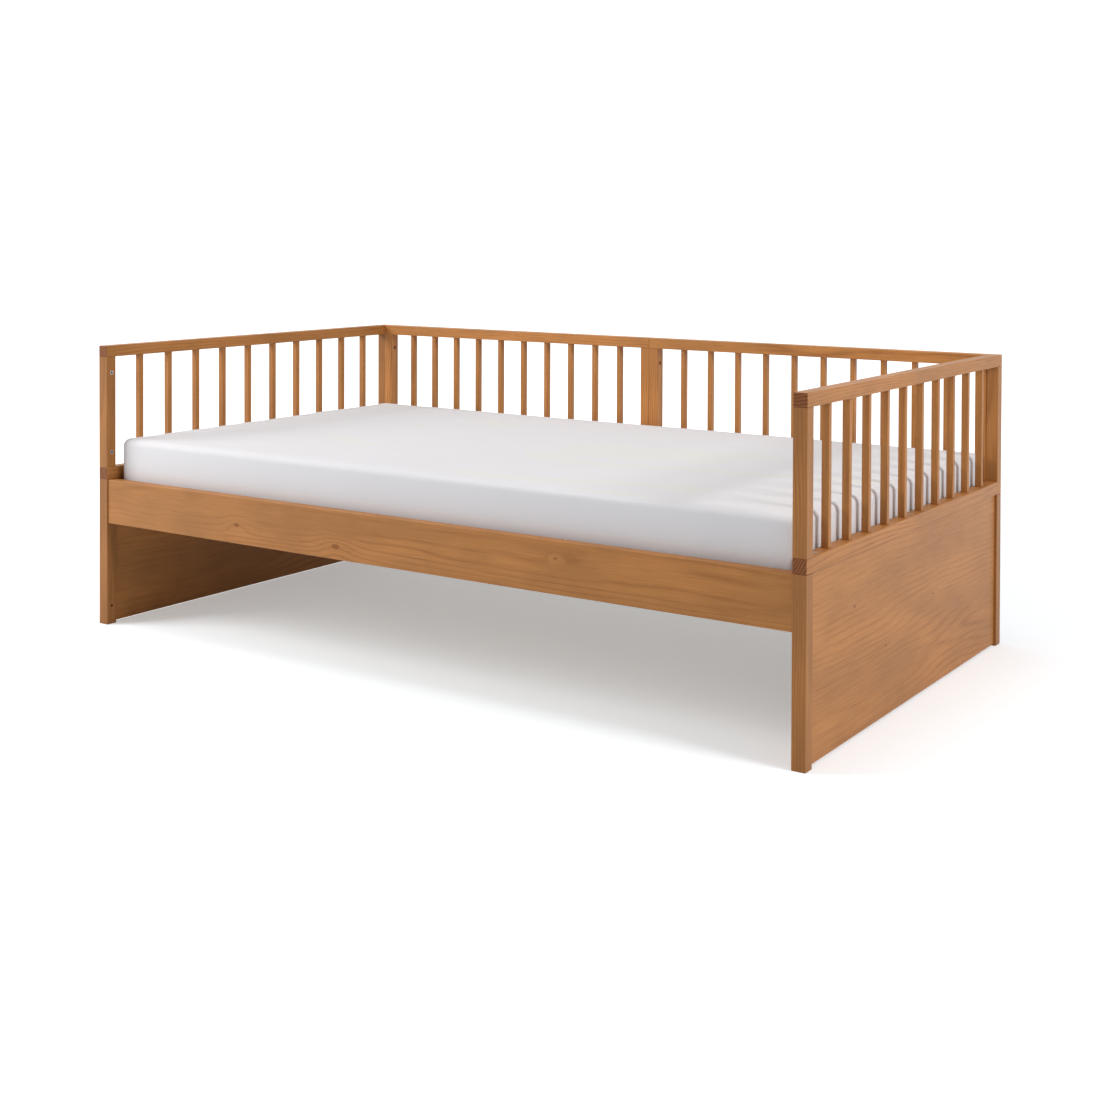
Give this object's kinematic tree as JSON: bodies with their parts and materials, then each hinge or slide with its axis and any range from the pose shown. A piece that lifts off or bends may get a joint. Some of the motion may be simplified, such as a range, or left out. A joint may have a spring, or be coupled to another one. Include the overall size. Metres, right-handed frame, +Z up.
{
  "type": "convertible toddler bed",
  "caption": "Pine day bed with panelled ends, baluster guards on three sides, an open front, a slatted deck and a loose mattress in a fitted sheet.",
  "frame": {"origin": "on the floor under the middle of the bed", "axes": "+X along the bed to its right end, -Y to the open front, +Z up"},
  "size_m": [1.975, 1.064, 0.702],
  "materials": {
    "leg_pine": "satin",
    "panel_pine": "satin",
    "rail_pine": "satin",
    "guard_pine": "satin",
    "deck_pine": "matte",
    "dowel_wood": "matte",
    "zinc_steel": "satin",
    "mattress_foam": "matte",
    "white_sheet": "matte"
  },
  "bodies": {
    "bed": {"left_front_leg": "leg_pine", "left_back_leg": "leg_pine", "right_front_leg": "leg_pine", "right_back_leg": "leg_pine", "left_end_panel": "panel_pine", "right_end_panel": "panel_pine", "front_side_rail": "rail_pine", "back_side_rail": "rail_pine", "front_ledger": "deck_pine", "back_ledger": "deck_pine", "slat_01": "deck_pine", "slat_02": "deck_pine", "slat_03": "deck_pine", "slat_04": "deck_pine", "slat_05": "deck_pine", "slat_06": "deck_pine", "slat_07": "deck_pine", "slat_08": "deck_pine", "slat_09": "deck_pine", "slat_10": "deck_pine", "slat_11": "deck_pine", "slat_12": "deck_pine", "slat_13": "deck_pine", "slat_14": "deck_pine", "left_guard_top_rail": "guard_pine", "left_guard_bottom_rail": "guard_pine", "left_guard_front_post": "guard_pine", "left_guard_back_post": "guard_pine", "right_guard_top_rail": "guard_pine", "right_guard_bottom_rail": "guard_pine", "right_guard_front_post": "guard_pine", "right_guard_back_post": "guard_pine", "back_left_guard_top_rail": "guard_pine", "back_left_guard_bottom_rail": "guard_pine", "back_left_guard_left_post": "guard_pine", "back_left_guard_right_post": "guard_pine", "back_right_guard_top_rail": "guard_pine", "back_right_guard_bottom_rail": "guard_pine", "back_right_guard_left_post": "guard_pine", "back_right_guard_right_post": "guard_pine", "left_guard_balusters": "guard_pine", "right_guard_balusters": "guard_pine", "back_left_guard_balusters": "guard_pine", "back_right_guard_balusters": "guard_pine", "slat_screws": "zinc_steel", "ledger_screws": "zinc_steel", "guard_screws": "zinc_steel", "cam_locks": "zinc_steel", "cam_pins": "zinc_steel", "corner_bolts": "zinc_steel", "middle_bolts": "zinc_steel", "left_guard_inserts": "zinc_steel", "right_guard_inserts": "zinc_steel", "middle_inserts": "zinc_steel", "rail_dowels": "dowel_wood", "leg_top_dowels": "dowel_wood"},
    "mattress_set": {"mattress": "mattress_foam", "fitted_sheet": "white_sheet"}
  },
  "joints": [
    {"name": "mattress_lift", "type": "slide", "parent": "bed", "child": "mattress_set", "axis": [0, 0, 1], "range_m": [0, 0.4]}
  ]
}
